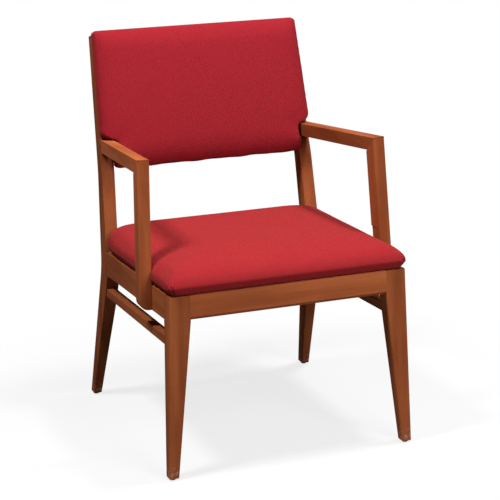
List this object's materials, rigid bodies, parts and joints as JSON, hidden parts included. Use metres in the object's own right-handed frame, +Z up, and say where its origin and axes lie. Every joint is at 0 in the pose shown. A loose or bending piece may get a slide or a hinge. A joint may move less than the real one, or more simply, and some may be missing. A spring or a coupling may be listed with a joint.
{
  "type": "upholstered wooden armchair",
  "caption": "Wooden armchair with tapered legs, swept rear posts, slim arms with finger-mitred posts, side stretchers, a crowned seat cushion and a notched back pad.",
  "frame": {"origin": "on the floor under the centre of the chair's bounding box", "axes": "+Z up, +Y towards the back, +X to the right seen from the front"},
  "size_m": [0.588, 0.6216, 0.8802],
  "materials": {
    "frame_wood": "satin lacquer, worn at the feet",
    "block_wood": "bare",
    "plywood": "bare",
    "red_fabric": "fine woven",
    "dust_cloth": "non-woven",
    "foam": "open-cell foam",
    "steel": "zinc plated",
    "brass": "plain",
    "glide": "moulded"
  },
  "bodies": {
    "root": {"arm_dowels": "block_wood", "arm_left": "frame_wood", "arm_post_bolts": "steel", "arm_post_inserts": "brass", "arm_post_left": "frame_wood", "arm_post_right": "frame_wood", "arm_post_washers": "steel", "arm_right": "frame_wood", "arm_screws": "steel", "back_board": "plywood", "back_cover": "red_fabric", "back_foam": "foam", "back_outer_cloth": "red_fabric", "back_rail": "frame_wood", "back_rail_dowels": "block_wood", "back_screws": "steel", "corner_block_screws": "steel", "front_corner_block_left": "block_wood", "front_corner_block_right": "block_wood", "front_glide_left": "glide", "front_glide_right": "glide", "front_leg_left": "frame_wood", "front_leg_right": "frame_wood", "front_rail": "frame_wood", "front_rail_dowels": "block_wood", "glide_nails": "steel", "post_plugs": "frame_wood", "rear_corner_block_left": "block_wood", "rear_corner_block_right": "block_wood", "rear_glide_left": "glide", "rear_glide_right": "glide", "rear_post_left": "frame_wood", "rear_post_right": "frame_wood", "seat_board": "plywood", "seat_cover": "red_fabric", "seat_dust_cloth": "dust_cloth", "seat_foam": "foam", "seat_screws": "steel", "side_rail_dowels": "block_wood", "side_rail_left": "frame_wood", "side_rail_right": "frame_wood", "side_stretcher_left": "frame_wood", "side_stretcher_right": "frame_wood"}
  },
  "joints": []
}
